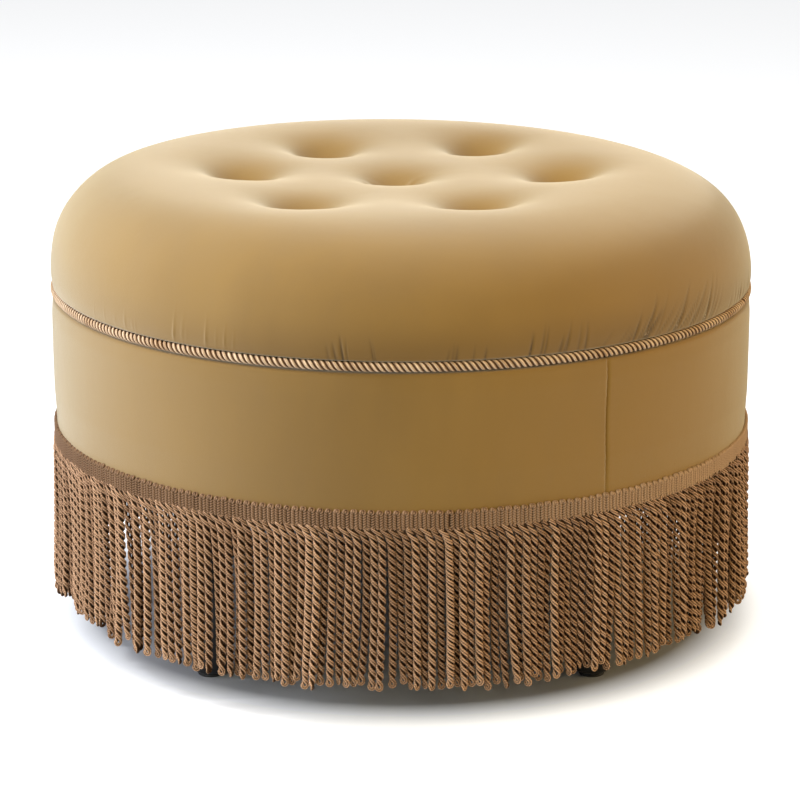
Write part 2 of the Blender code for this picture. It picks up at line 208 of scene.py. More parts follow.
def weave(name, dark, light, pitch):
    """Plain woven cloth, from two crossed waves in the piece's own map, in metres."""
    f = Finish(name, Specular_IOR_Level=0.15)
    u, v, _ = f.split("UV")
    across = f.math("SINE", f.math("MULTIPLY", u, TAU / pitch))
    along = f.math("SINE", f.math("MULTIPLY", v, TAU / pitch))
    cloth = f.math("MULTIPLY_ADD", f.math("MULTIPLY", across, along), 0.5, 0.5)
    slub = f.noise(60.0, 4.0, 0.6)
    share = f.math("MULTIPLY_ADD", cloth, 0.5, f.math("MULTIPLY", slub, 0.5))
    return f.done(f.mix(share, dark, light), f.span(slub, 0.3, 0.7, 0.82, 0.9),
                  f.bump(cloth, 0.5, 0.0003, f.bump(slub, 0.2, 0.001)))


def plywood(name):
    """Birch veneer: long grain on the faces and darker glue lines on the edge."""
    f = Finish(name, Specular_IOR_Level=0.35)
    grain = f.noise(9.0, 6.0, 0.6, stretch=(1.0, 14.0, 1.0), distortion=0.4)
    fine = f.noise(160.0, 3.0, 0.6, stretch=(1.0, 12.0, 1.0))
    glue_pitch = 0.0028
    layers = f.math("SINE", f.math("MULTIPLY", f.split("Object")[2], TAU / glue_pitch))
    edge = f.math("SUBTRACT", 1.0, f.math("ABSOLUTE", f.split("Normal")[2]))
    share = f.math("MULTIPLY_ADD", grain, 0.6, f.math("MULTIPLY", fine, 0.4))
    colour = f.mix(f.span(share, 0.35, 0.65), (0.50, 0.36, 0.21), (0.70, 0.55, 0.37))
    dark = f.math("MULTIPLY", edge, f.span(layers, -0.2, 0.6, 0.0, 0.5))
    colour = f.mix(dark, colour, (0.30, 0.19, 0.10))
    return f.done(colour, f.span(fine, 0.3, 0.7, 0.5, 0.65), f.bump(fine, 0.2, 0.0004))


def mottled(name, dark, light, scale, rough, metallic=0.0, bump=(0.3, 0.0005)):
    """Cellular, fibrous or cast surfaces: one fine noise drives colour, gloss and relief."""
    f = Finish(name, Metallic=metallic)
    fine = f.noise(scale, 4.0, 0.6)
    broad = f.noise(scale / 25, 3.0, 0.5)
    share = f.math("MULTIPLY_ADD", fine, 0.6, f.math("MULTIPLY", broad, 0.4))
    return f.done(f.mix(f.span(share, 0.35, 0.65), dark, light),
                  f.span(fine, 0.3, 0.7, rough - 0.07, rough + 0.07), f.bump(fine, *bump))


# ---- Camera, light and floor ----

def make_camera():
    data = bpy.data.cameras.new("camera")
    data.lens = 139.77
    data.sensor_width = 36.0
    camera = new_object("camera", data)
    camera.location = (-0.0011, -3.0394, 1.0706)
    camera.rotation_euler = (math.radians(74.46), 0.0, 0.0)
    bpy.context.scene.camera = camera


STUDIO_MIDDLE = (0.0, 0.0, 0.25)
LIGHTS = {  # place, diameter, power and colour of each round soft light
    "key": ((-2.6, -0.4, 2.5), 0.40, 40.0, (1.0, 1.0, 1.0)),
    "left_low": ((-2.9, -0.3, 1.3), 1.6, 32.0, (0.90, 0.84, 1.0)),
    "left_high": ((-2.3, 0.0, 2.9), 2.2, 72.0, (0.97, 1.0, 1.0)),
    "top_soft": ((-0.2, 0.3, 3.3), 2.6, 42.0, (0.90, 0.99, 1.0)),
    "front_left": ((-2.0, -2.4, 1.2), 1.6, 47.0, (0.95, 1.0, 0.95)),
    "front_high": ((0.3, -2.6, 2.6), 1.8, 41.0, (1.0, 0.79, 0.36)),
    "right_high": ((2.3, -0.3, 2.6), 2.2, 17.0, (1.0, 0.76, 0.44)),
    "right_low": ((2.9, -0.8, 1.0), 2.0, 46.0, (1.0, 0.74, 0.40)),
}


def make_lights():
    for name, (place, size, power, colour) in LIGHTS.items():
        data = bpy.data.lights.new(name, "AREA")
        data.shape = "DISK"
        data.size = size
        data.energy = power
        data.color = colour
        light = new_object(name, data)
        light.location = place
        aim = Vector(STUDIO_MIDDLE) - Vector(place)
        light.rotation_euler = aim.to_track_quat("-Z", "Y").to_euler()


def make_backdrop():
    """White to the camera and nearly dark to the object, which the lights alone light."""
    world = bpy.data.worlds.new("studio")
    bpy.context.scene.world = world
    world.use_nodes = True
    tree = world.node_tree
    tree.nodes.clear()
    path = tree.nodes.new("ShaderNodeLightPath")
    mix = tree.nodes.new("ShaderNodeMixShader")
    out = tree.nodes.new("ShaderNodeOutputWorld")
    tree.links.new(path.outputs["Is Camera Ray"], mix.inputs["Fac"])
    tree.links.new(mix.outputs[0], out.inputs["Surface"])
    for shader, colour, strength in ((1, (0.97, 0.98, 1.0, 1.0), 0.01), (2, (1.0, 1.0, 1.0, 1.0), 1.05)):
        background = tree.nodes.new("ShaderNodeBackground")
        background.inputs["Color"].default_value = colour
        background.inputs["Strength"].default_value = strength
        tree.links.new(background.outputs[0], mix.inputs[shader])
    bpy.context.scene.view_settings.view_transform = "Standard"


FLOOR_SHADE = ((0.0, 0.045, 0.0), 0.315, 0.375)  # its middle, and where its fading starts and ends
FLOOR_GLOW = 0.80


def make_floor():
    """A pale floor with a painted glow that only the camera sees, white outside a painted shadow under the
    object.
    """
    far = 30
    corners = [(-far, -far, 0), (far, -far, 0), (far, far, 0), (-far, far, 0)]
    mesh = bpy.data.meshes.new("floor")
    mesh.from_pydata(corners, [], [(0, 1, 2, 3)])
    floor = new_object("floor", mesh)
    f = Finish("floor_painted_glow", Base_Color=(0.53, 0.55, 0.60, 1.0), Roughness=0.9, Specular_IOR_Level=0.1,
               Emission_Color=(0.985, 0.99, 1.0, 1.0))
    middle, start, stop = FLOOR_SHADE
    away = f.node("VectorMath", {0: f.coords.outputs["Object"], 1: middle}, operation="DISTANCE")
    seen = f.node("LightPath").outputs["Is Camera Ray"]
    # Painted glow for the camera, fading out into a painted shadow under the object.
    glow = f.math("MULTIPLY", seen, f.span(away.outputs["Value"], start, stop, 0.0, FLOOR_GLOW))
    f.feed(f.shader.inputs["Emission Strength"], glow)
    mesh.materials.append(f.material)


# ---- Mesh helpers ----

def polar(radius, angle, height):
    return np.stack(np.broadcast_arrays(radius * np.cos(angle), radius * np.sin(angle), height), -1)


def ring_angles(count):
    return np.arange(count) * TAU / count


def angle_past(angle, start):
    """How far angle is past start, from minus half a turn to half a turn."""
    return np.angle(np.exp(1j * (angle - start)))


def split_polar(points):
    """The angle and the height of each point."""
    return np.arctan2(points[:, 1], points[:, 0]), points[:, 2]


def make_piece(name, points, faces, material, body, replaces=(), uv=None, tone=None):
    """A mesh piece from corner arrays, each of one polygon size, riding on a CAD body.

    uv has a row for each corner; tone has a number for each point, which the materials read.
    """
    faces = [f for f in faces if len(f)]
    corners = np.concatenate([f.reshape(-1) for f in faces]).astype(np.int32)
    sizes = np.concatenate([np.full(len(f), f.shape[1]) for f in faces])
    starts = np.concatenate([[0], np.cumsum(sizes)[:-1]]).astype(np.int32)
    mesh = bpy.data.meshes.new(name)
    mesh.vertices.add(len(points))
    mesh.vertices.foreach_set("co", np.asarray(points, np.float32).reshape(-1))
    mesh.loops.add(len(corners))
    mesh.loops.foreach_set("vertex_index", corners)
    mesh.polygons.add(len(sizes))
    mesh.polygons.foreach_set("loop_start", starts)
    mesh.update(calc_edges=True)
    if uv is not None:
        mesh.uv_layers.new(name="UVMap").data.foreach_set("uv", np.asarray(uv, np.float32).reshape(-1))
    if tone is not None:
        attribute = mesh.attributes.new("tone", "FLOAT", "POINT")
        attribute.data.foreach_set("value", np.asarray(tone, np.float32))
    mesh.shade_smooth()
    mesh.materials.append(material)
    piece = new_object(name, mesh)
    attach(piece, body)
    if replaces:
        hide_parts(*replaces)
    return piece


def skin(rows, closed=False):
    """Faces between rings of points; each ring has as many points as the next, half, twice, or just one."""
    quads, tris = [], []
    starts = np.cumsum([0] + [len(r) for r in rows])
    pairs = [(i, i + 1) for i in range(len(rows) - 1)] + ([(len(rows) - 1, 0)] if closed else [])
    for i, j in pairs:
        a, b, n, m = starts[i], starts[j], len(rows[i]), len(rows[j])
        k = np.arange(max(n, m) if 1 in (n, m) else min(n, m))
        l = (k + 1) % len(k)
        if n == m:
            quads.append(np.stack([a + k, b + k, b + l, a + l], 1))
            continue
        if n == 1:
            found = [(a + 0 * k, b + k, b + l)]
        elif m == 1:
            found = [(a + k, b + 0 * k, a + l)]
        elif n == 2 * m:
            mid, end = a + 2 * k + 1, a + (2 * k + 2) % n
            found = [(a + 2 * k, b + k, mid), (mid, b + k, b + l), (mid, b + l, end)]
        else:
            mid, end = b + 2 * k + 1, b + (2 * k + 2) % m
            found = [(a + k, b + 2 * k, mid), (a + k, mid, a + l), (a + l, mid, end)]
        tris += [np.stack(corners, 1) for corners in found]
    empty = np.zeros((0, 3), int)
    return np.concatenate(rows), [np.concatenate(faces) if faces else empty for faces in (quads, tris)]


def eased(corners, radius, steps=3):
    """A profile's corners rounded, apart from those on the axis."""
    out = []
    for i, point in enumerate(corners):
        here, back, on = (np.array(corners[k % len(corners)], float) for k in (i, i - 1, i + 1))
        if here[0] <= 0:
            out.append(tuple(here))
            continue
        a, b = (np.linalg.norm(v) for v in (back - here, on - here))
        r = min(radius, a / 2.2, b / 2.2)
        start, end = here + (back - here) / a * r, here + (on - here) / b * r
        for t in np.linspace(0, 1, steps + 1):
            out.append(tuple((1 - t) ** 2 * start + 2 * t * (1 - t) * here + t ** 2 * end))
    return out


def lathe(name, profile, segments, material, body, slot, replaces=(), place=(0.0, 0.0), wobble=None):
    """A turned piece from a closed profile (radius, height) that runs outward on top and down outside."""
    angle = ring_angles(segments)
    rows = [polar(r, angle, z) if r > 0 else np.array([[0.0, 0.0, z]]) for r, z in profile]
    if wobble:
        rows = [wobble(row) for row in rows]
    on_axis = profile[0][0] <= 0 and profile[-1][0] <= 0
    points, faces = skin(rows, closed=not on_axis)
    turn = np.concatenate([angle if len(r) > 1 else [0.0] for r in rows])
    along = np.cumsum([0.0] + [math.dist(a, b) for a, b in zip(profile, profile[1:])])
    spread = np.repeat(along, [len(r) for r in rows])
    biggest = max(r for r, _ in profile)
    corners = np.concatenate([f.reshape(-1) for f in faces]).astype(int)
    is_flat = np.ptp([z for _, z in profile]) < 0.2 * biggest
    if is_flat:
        uv = points[corners][:, :2]
    else:
        u = turn[corners]
        last = np.concatenate([np.repeat(turn[f].max(1), f.shape[1]) for f in faces if len(f)])
        u = np.where((last > math.pi * 1.5) & (u < math.pi / 2), u + TAU, u)
        uv = np.stack([u * biggest, spread[corners]], 1)
    points = points + np.array([place[0], place[1], 0.0])
    return make_piece(name, points, faces, material, body, replaces, uv)


def sweep(centre, normal, section, size=None, closed=False):
    """Tubes along many paths at once. centre and normal are (tubes, steps, 3); section is (corners, 2).

    size scales the section at each step, or at each corner of each step.
    """
    if closed:
        tangent = np.roll(centre, -1, 1) - np.roll(centre, 1, 1)
    else:
        tangent = np.gradient(centre, axis=1)
    tangent /= np.linalg.norm(tangent, axis=-1, keepdims=True)
    normal = normal - (normal * tangent).sum(-1, keepdims=True) * tangent
    normal /= np.linalg.norm(normal, axis=-1, keepdims=True)
    side = np.cross(tangent, normal)
    size = np.ones(centre.shape[:2]) if size is None else size
    tubes, steps, sides = centre.shape[0], centre.shape[1], len(section)
    spread = section[None, None] * (size[..., None] if size.ndim == 3 else size[:, :, None, None])
    points = centre[:, :, None] + spread[..., :1] * side[:, :, None] + spread[..., 1:] * normal[:, :, None]
    step = np.arange(steps if closed else steps - 1)
    i, j = np.meshgrid(step, np.arange(sides), indexing="ij")
    i2, j2 = (i + 1) % steps, (j + 1) % sides
    quad = np.stack([i * sides + j, i2 * sides + j, i2 * sides + j2, i * sides + j2], -1).reshape(-1, 4)
    base = np.arange(tubes) * steps * sides
    quads = (base[:, None, None] + quad[None]).reshape(-1, 4)
    along = np.linalg.norm(np.diff(centre, axis=1), axis=-1)
    along = np.concatenate([np.zeros((tubes, 1)), np.cumsum(along, 1)], 1)
    if closed:
        along = np.concatenate([along, along[:, -1:] + along[:, 1:2]], 1)
    u0, u1 = j / sides, (j + 1) / sides
    u = np.broadcast_to(np.stack([u0, u0, u1, u1], -1).reshape(1, -1), (tubes, 4 * len(quad)))
    v0, v1 = along[:, i.reshape(-1)], along[:, i.reshape(-1) + 1]
    v = np.stack([v0, v1, v1, v0], -1).reshape(tubes, -1)
    uv = np.stack([u, v], -1).reshape(-1, 2)
    faces = [quads]
    if not closed:
        ends = np.concatenate([base[:, None] + np.arange(sides)[None],
                               base[:, None] + (steps - 1) * sides + np.arange(sides)[None, ::-1]])
        faces.append(ends)
        uv = np.concatenate([uv, np.zeros((ends.size, 2))])
    return points.reshape(-1, 3), faces, uv


def circle(sides, radius=1.0):
    angle = -ring_angles(sides)
    return np.stack([radius * np.cos(angle), radius * np.sin(angle)], 1)


def smooth_noise(random, count, reach):
    """Seeded noise round a ring, smoothed over about reach neighbours, with a spread of one."""
    wave = np.fft.rfft(random.standard_normal(count))
    wave *= np.exp(-(np.arange(len(wave)) * reach / count * 2.2) ** 2)
    noise = np.fft.irfft(wave, count)
    return noise / noise.std()


# ---- Cushion ----

CROWN_RADIUS = 0.3495
CROWN_LOW = ROPE_Z + 0.010  # height of the cushion's widest part
CROWN_TOP = 0.4735
CROWN_SQUARE = (7.4, 2.15)  # powers of the superellipse: how square the outline is across and up
SEAT_HOLLOW = (0.012, 0.205)  # depth of the seat's middle, and how far out it reaches
MIDDLE_TUFT, OUTER_TUFT = 0.014, 0.017  # depth of the wide dimple round a tuft
TUFT_WIDE = 0.042  # its radius
TUFT_HOLE = (0.020, 0.021)  # depth and radius of the narrow hole in it
TUFTS = [sum(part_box(f"tuft_button_{i}"), Vector()) / 2 for i in range(1, 8)]
TUFT_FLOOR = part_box("tuft_button_1")[0].z - 0.0006


def crown_curve():
    """Arc length, radius and height from the middle of the top down to the widest part."""
    turn = np.linspace(math.pi / 2, 0, 6001)
    r = CROWN_RADIUS * np.cos(turn).clip(0) ** (2 / CROWN_SQUARE[0])
    z = CROWN_LOW + (CROWN_TOP - CROWN_LOW) * np.sin(turn).clip(0) ** (2 / CROWN_SQUARE[1])
    s = np.concatenate([[0], np.cumsum(np.hypot(np.diff(r), np.diff(z)))])
    return s, r, z


CURVE_S, CURVE_R, CURVE_Z = crown_curve()
CROWN_LENGTH = CURVE_S[-1]


def crown_surface(s, angle):
    """The cushion before it is blown up: tufts, the hollow between them, and a fuller left side."""
    r = np.interp(s, CURVE_S, CURVE_R)
    z = np.interp(s, CURVE_S, CURVE_Z)
    x, y = r * np.cos(angle), r * np.sin(angle)
    down = SEAT_HOLLOW[0] * np.exp(-(r / SEAT_HOLLOW[1]) ** 4)
    down = down + 0.0045 * (x / 0.3) * np.exp(-((r - 0.29) / 0.05) ** 2)
    for tuft in TUFTS:
        reach = np.hypot(x - tuft.x, y - tuft.y)
        wide = MIDDLE_TUFT if math.hypot(tuft.x, tuft.y) < 0.05 else OUTER_TUFT
        hole, hole_radius = TUFT_HOLE
        down = down + wide * np.exp(-(reach / TUFT_WIDE) ** 2) + hole * np.exp(-(reach / hole_radius) ** 2)
    x = x - 0.0020 * np.clip(-np.cos(angle), 0, 1) ** 1.5 * np.exp(-((z - 0.414) / 0.028) ** 2)
    most, ease = CROWN_TOP - TUFT_FLOOR, 0.003
    down = -ease * np.logaddexp(-down / ease, -most / ease)
    return np.stack(np.broadcast_arrays(x, y, z - down), -1)


def inflate(points, pinned, frames=20, most=0.012):
    """Cloth pulled tight under pressure from inside: how far each point goes, at most the length most."""
    rows, columns = points.shape[:2]
    flat, faces = skin([points[0][:1]] + [points[i] for i in range(1, rows)])
    mesh = bpy.data.meshes.new("cushion_sim")
    mesh.from_pydata(flat.tolist(), [], [f.tolist() for f in faces[0]] + [f.tolist() for f in faces[1]])
    obj = new_object("cushion_sim", mesh)
    held = np.concatenate([pinned[0][:1], pinned[1:].reshape(-1)])
    obj.vertex_groups.new(name="held").add(np.flatnonzero(held).tolist(), 1.0, "REPLACE")
    cloth = obj.modifiers.new("Cloth", "CLOTH")
    settings = cloth.settings
    settings.quality = 6
    settings.mass = 0.3
    settings.tension_stiffness = settings.compression_stiffness = 25.0
    settings.shear_stiffness = 12.0
    settings.bending_stiffness = 1.5
    settings.use_pressure = True
    settings.uniform_pressure_force = 3.0
    settings.vertex_group_mass = "held"
    settings.effector_weights.gravity = 0.0
    cloth.point_cache.frame_start = 1
    cloth.point_cache.frame_end = frames
    for number in range(1, frames + 1):
        bpy.context.scene.frame_set(number)
    shape = obj.evaluated_get(bpy.context.evaluated_depsgraph_get()).data
    after = np.zeros(len(shape.vertices) * 3)
    shape.vertices.foreach_get("co", after)
    moved = after.reshape(-1, 3) - flat
    far = np.linalg.norm(moved, axis=1, keepdims=True)
    moved *= np.minimum(1.0, most / np.maximum(far, 1e-9))
    bpy.data.objects.remove(obj)
    bpy.context.scene.frame_set(1)
    return np.concatenate([np.repeat(moved[:1], columns, 0), moved[1:]]).reshape(rows, columns, 3)


def blown_crown():
    """How far pressure moves the cushion's crown, on a grid of arc length and angle."""
    s = np.linspace(0, CROWN_LENGTH, 76)
    angle = ring_angles(192)
    points = crown_surface(s[:, None], angle[None])
    pinned = np.zeros(points.shape[:2], bool)
    pinned[-2:] = True
    for tuft in TUFTS:
        pinned |= np.hypot(points[..., 0] - tuft.x, points[..., 1] - tuft.y) < 0.011
    return s, inflate(points, pinned)


BLOWN_S, BLOWN = blown_crown()


def blown_at(s, count):
    """The crown's travel at one arc length, for count angles, by cubic and Fourier interpolation."""
    place = np.clip(s / CROWN_LENGTH, 0, 1) * (len(BLOWN_S) - 1)
    i = int(min(place, len(BLOWN_S) - 2))
    t = place - i
    p0, p1, p2, p3 = (BLOWN[min(max(i + k, 0), len(BLOWN_S) - 1)] for k in (-1, 0, 1, 2))
    row = p1 + 0.5 * t * (p2 - p0 + t * (2 * p0 - 5 * p1 + 4 * p2 - p3 + t * (3 * (p1 - p2) + p3 - p0)))
    wave = np.fft.rfft(row, axis=0)
    more = np.zeros((count // 2 + 1, 3), complex)
    shortest = 0.010                # of the waves kept, so that the middle has no creases
    keep = min(len(wave), len(more), 3 + int(TAU * s / shortest))
    more[:keep] = wave[:keep]
    return np.fft.irfft(more, count, axis=0) * count / len(row)


def crown_row(s, count, depth=0.0):
    """One ring of the finished crown, set in by depth."""
    angle = ring_angles(count)
    points = crown_surface(s, angle) + blown_at(s, count)
    if depth == 0:
        return points
    step = 0.002
    ahead, behind = (crown_surface(near, angle) + blown_at(near, count)
                     for near in (min(s + step, CROWN_LENGTH), max(s - step, 0.0005)))
    out = np.cross(np.roll(points, -1, 0) - np.roll(points, 1, 0), behind - ahead)
    out /= np.linalg.norm(out, axis=1, keepdims=True)
    return points - depth * out


# clusters of small gathers above the rope: from and to, in degrees right of the front, how many, how tall and
# how far they lean, in millimetres
GATHERS = (
    (-62, -48, 6, 17, 0), (-40, -25, 9, 26, 2), (-12, -1, 7, 16, -2), (7, 14, 5, 15, 2), (19, 32, 10, 20, 4),
    (34, 43, 9, 20, 10), (42, 63, 32, 30, 20), (66, 80, 9, 16, 6), (80, 290, 60, 20, 3),
)
RIDGED = (-62, -40)  # where the clusters start that stand out as ridges; the others are pressed in
DEEPEST_FOLD = 1.7 * MM


def gather_list():
    """Each gather's place, height, lean, width and depth, which is below zero for a ridge."""
    random = np.random.default_rng(11)
    out = []
    for low, high, count, tall, lean in GATHERS:
        for _ in range(count):
            where = math.radians(0.93 * random.uniform(low, high)) + FRONT
            rise = tall * MM * random.uniform(0.55, 1.15)
            shift = lean * MM * random.uniform(0.6, 1.3)
            wide = random.uniform(0.8, 1.7) * MM
            deep = random.uniform(0.6, 1.7) * MM * (-0.7 if low in RIDGED else 1)
            out.append((where, rise, shift, wide, deep))
    return out


GATHER_LIST = gather_list()


def eased_step(value):
    value = np.clip(value, 0, 1)
    return value * value * (3 - 2 * value)


def gathered(points):
    """Presses the gathers into a ring of points; also says how deep in a fold each point is, for painted
    shade.
    """
    angle, z = split_polar(points)
    rise = z - ROPE_TOP.z
    push, shade = np.zeros(len(points)), np.zeros(len(points))
    for where, tall, lean, wide, deep in GATHER_LIST:
        across = angle_past(angle, where) * CROWN_RADIUS - lean * rise / tall
        fade = np.clip(1 - rise.clip(0) / (1.5 * tall), 0, 1) ** 1.4
        fold = np.exp(-(across / wide) ** 2)
        if deep > 0:
            push -= deep * fade * (fold - 0.2 * np.exp(-((across - 1.9 * wide) / wide) ** 2))
            shade += fade ** 0.6 * np.exp(-(across / (0.7 * wide)) ** 2) * deep / DEEPEST_FOLD
        else:
            push -= deep * fade * fold
    push = DEEPEST_FOLD * np.tanh(push / DEEPEST_FOLD) * eased_step(rise / 0.012)
    push -= 0.0012 * np.exp(-(rise.clip(0) / 0.008) ** 2) * eased_step(rise / 0.004)
    return points + polar(push, angle, 0.0), shade.clip(0, 1)


def lower_rows(outside, count_of):
    """Below its widest part the cover tucks in behind the rope and turns under the lid board's edge."""
    tuck = ROPE_TOP.z
    profile = [(CROWN_RADIUS - 0.0001, tuck + 0.0032), (CROWN_RADIUS - 0.0008, tuck + 0.0016),
               (CROWN_RADIUS - 0.0026, tuck + 0.0005), (SIDE_RADIUS + 0.002, tuck + 0.0001),
               (SIDE_RADIUS + 0.0004, tuck - 0.001), (SIDE_RADIUS, tuck - 0.003),
               (SIDE_RADIUS, LID_LOW + 0.0012), (SIDE_RADIUS - 0.0004, LID_LOW + 0.0004),
               (SIDE_RADIUS - 0.0012, LID_LOW), ((SIDE_RADIUS + MOUTH_RADIUS) / 2, LID_LOW),
               (MOUTH_RADIUS + 0.0006, LID_LOW)]
    rows = []
    for i, (r, z) in enumerate(profile):
        if not outside:
            r = r - FABRIC if i < 9 else r
            z = z + FABRIC if i > 5 or i < 4 else z
        rows.append(polar(r, ring_angles(count_of(i)), z))
    return rows


def make_cushion(material):
    """The velvet cover as a closed skin, with more columns towards the rope, where the gathers are."""
    rows = [crown_row(0.001, 288).mean(0, keepdims=True)]
    rows += [crown_row(s, 288) for s in np.arange(0.003, 0.100, 0.003)]
    gather_from = CROWN_LENGTH - 0.052
    rows += [crown_row(s, 576) for s in np.arange(0.102, gather_from, 0.0034)]
    for i, s in enumerate(np.linspace(gather_from, CROWN_LENGTH, 20)):
        rows.append(crown_row(s, 1152 if i < 7 else 2304))
    rows += lower_rows(True, lambda i: 2304 if i < 4 else 1152 if i < 5 else 576 if i < 8 else 288)
    folded = [gathered(r) if len(r) >= 1152 else (r, np.zeros(len(r))) for r in rows]
    rows, shades = [r for r, _ in folded], [shade for _, shade in folded]
    inner = [crown_row(0.001, 144, FABRIC).mean(0, keepdims=True)]
    inner += [crown_row(s, 144, FABRIC) for s in np.linspace(0.006, CROWN_LENGTH, 44)]
    inner += lower_rows(False, lambda i: 144 if i < 10 else 288)
    points, faces = skin(rows + inner[::-1])
    shade = np.concatenate(shades + [np.zeros(len(r)) for r in inner])
    cover = make_piece("velvet_seat_cover", points, faces, material, "lid", ["seat_cover"],
                       tone=shade)


def make_filling(wadding, foam):
    """Polyester layer and foam block inside the cover, both closed and opened at the tufts like it."""
    low = BOARD_TOP + 0.0003
    places = np.linspace(0.006, CROWN_LENGTH - 0.001, 56)

    def layer(depth):
        rows = [crown_row(0.001, 192, depth).mean(0, keepdims=True)]
        for s in places:
            row = crown_row(s, 192, depth)
            row[:, 2] = np.maximum(row[:, 2], low + 0.0002)
            rows.append(row)
        return rows

    outer, middle = layer(FABRIC + 0.0003), layer(FABRIC + 0.0083)
    points, faces = skin(outer + middle[::-1])
    pad = make_piece("polyester_wadding", points, faces, wadding, "lid", ["seat_wadding"])
    block = layer(FABRIC + 0.0086)
    bottom = [polar(r, ring_angles(192), low) for r in (0.338, 0.25, 0.12)] + [np.array([[0.0, 0.0, low]])]
    points, faces = skin(block + bottom)
    core = make_piece("foam_block", points, faces, foam, "lid", ["seat_foam"])


def make_buttons(material):
    """Covered buttons at the bottom of the tufts, with the velvet drawn tight under their edges."""
    for i, tuft in enumerate(TUFTS, start=1):
        low, high = (corner.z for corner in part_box(f"tuft_button_{i}"))
        profile = [(0, high), (0.003, high - 0.0002), (0.006, high - 0.0011), (0.0083, high - 0.0026),
                   (0.0093, high - 0.0042), (0.0090, low + 0.0008), (0.0075, low), (0, low)]
        lathe(f"covered_button_{i}", profile, 32, material, "lid", "velvet", [f"tuft_button_{i}"],
              (tuft.x, tuft.y))


# ---- Rope ----

ROPE_TURNS = 129
ROPE_PLY = 0.00215  # radius of a ply
ROPE_REACH = 0.00258  # from the rope's middle to the middle of each ply
ROPE_JOIN = math.radians(73) + FRONT


def make_rope(material):
    """Three plies laid round each other and a core, sewn into the crease; the ends meet at the right."""
    steps, sides = 1560, 12
    angle = ring_angles(steps)
    near = np.abs(angle_past(angle, ROPE_JOIN)) * ROPE_RADIUS
    pinch = 1 - 0.28 * np.exp(-(near / 0.0022) ** 2)
    random = np.random.default_rng(5)
    wander = 0.00025 * smooth_noise(random, steps, 60)
    out = polar(1.0, angle, 0.0)
    up = np.array([0.0, 0.0, 1.0])
    centre, normal = [], []
    for ply in range(3):
        twist = -ROPE_TURNS * angle + ply * TAU / 3
        radial = np.cos(twist)[:, None] * out + np.sin(twist)[:, None] * up
        centre.append(polar(ROPE_RADIUS + wander, angle, ROPE_Z) + ROPE_REACH * pinch[:, None] * radial)
        normal.append(radial)
    size = np.broadcast_to(pinch, (3, steps))
    points, faces, uv = sweep(np.array(centre), np.array(normal), circle(sides, ROPE_PLY), size, closed=True)
    tone = np.repeat(np.tile(0.5 + 0.25 * smooth_noise(random, steps, 8), 3), sides)

    angle = angle[::3]
    path, out = polar(ROPE_RADIUS, angle, ROPE_Z)[None], polar(1.0, angle, 0.0)[None]
    core_points, core_faces, core_uv = sweep(path, out, circle(10, 0.0031), closed=True)
    # The core sits at the U of full painted crevice shade, so it is painted all in shade.
    core_uv[:, 0] = 0.25            # across from a ply's outer side, where it is darkest
    faces = [np.concatenate([faces[0], core_faces[0] + len(points)])]
    points, uv = np.concatenate([points, core_points]), np.concatenate([uv, core_uv])
    tone = np.concatenate([tone, np.full(len(core_points), 0.5)])
    make_piece("twisted_rope", points, faces, material, "lid", ["lid_rope"], uv, tone)


# ---- Side band ----

SEAM = math.radians(33) + FRONT


def band_shape(points):
    """Slight waves of the padded side, and the sewn seam with its tiny puckers."""
    angle, z = split_polar(points)
    reach = np.hypot(points[:, 0], points[:, 1])
    on_side = np.clip((reach - BAND_RADIUS + 0.004) / 0.004, 0, 1)
    push = 0.00035 * np.sin(5 * angle + 1.2 + 9 * z) + 0.00025 * np.sin(11 * angle - 30 * z)
    push += 0.0014 * np.clip((z - 0.222) / 0.03, 0, 1) * np.clip((RIM_Z + 0.002 - z) / 0.02, 0, 1)
    across = angle_past(angle, SEAM) * BAND_RADIUS
    across = across + 0.0006 * np.sin(z * 50)
    pucker = 0.5 + 0.5 * np.sin(z * TAU / 0.0062 + 2 * np.sin(z * 260))
    push -= 0.0017 * np.exp(-(across / 0.0010) ** 2)
    push -= 0.0006 * pucker * np.exp(-(np.abs(across) / 0.0045))
    return points + polar(push * on_side, angle, 0.0)


def band_angles():
    """Even columns, drawn closer together at the seam."""
    even = np.linspace(0, TAU, 721)[:-1]
    offset = angle_past(even, SEAM)
    return np.sort(SEAM + offset - 0.86 * 0.02 * np.tanh(offset / 0.02) * np.exp(-(offset / 0.09) ** 2))


def make_band(material):
    """Velvet round the drum, turned over its rim and under its bottom."""
    angle = band_angles()
    top, low, over, under = RIM_Z, DRUM_LOW, MOUTH_RADIUS + 0.0025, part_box("dust_cover")[1].x - 0.016
    outer = eased([(over, top), (BAND_RADIUS, top), (BAND_RADIUS, low), (under, low)], 0.004, 5)[2:-4]
    bends = [p for p in outer if p[0] > 0.33]
    heights = np.linspace(top - 0.0055, low + 0.0055, 52)
    profile = [(over, top), (0.325, top)] + [p for p in bends if p[1] > heights[0]]
    profile += [(BAND_RADIUS, z) for z in heights] + [p for p in bends if p[1] < heights[-1]] + [(under, low)]
    wall = BAND_RADIUS - FABRIC
    inner = [(under, low + FABRIC), (wall - 0.001, low + FABRIC), (wall, low + FABRIC + 0.001),
             (wall, top - FABRIC - 0.001), (wall - 0.001, top - FABRIC), (over, top - FABRIC)]
    rows = [band_shape(polar(r, angle, z)) for r, z in profile] + [polar(r, angle, z) for r, z in inner]
    points, faces = skin(rows, closed=True)
    return make_piece("velvet_side_band", points, faces, material, "base", ["side_cover"])


# ---- Fringe ----

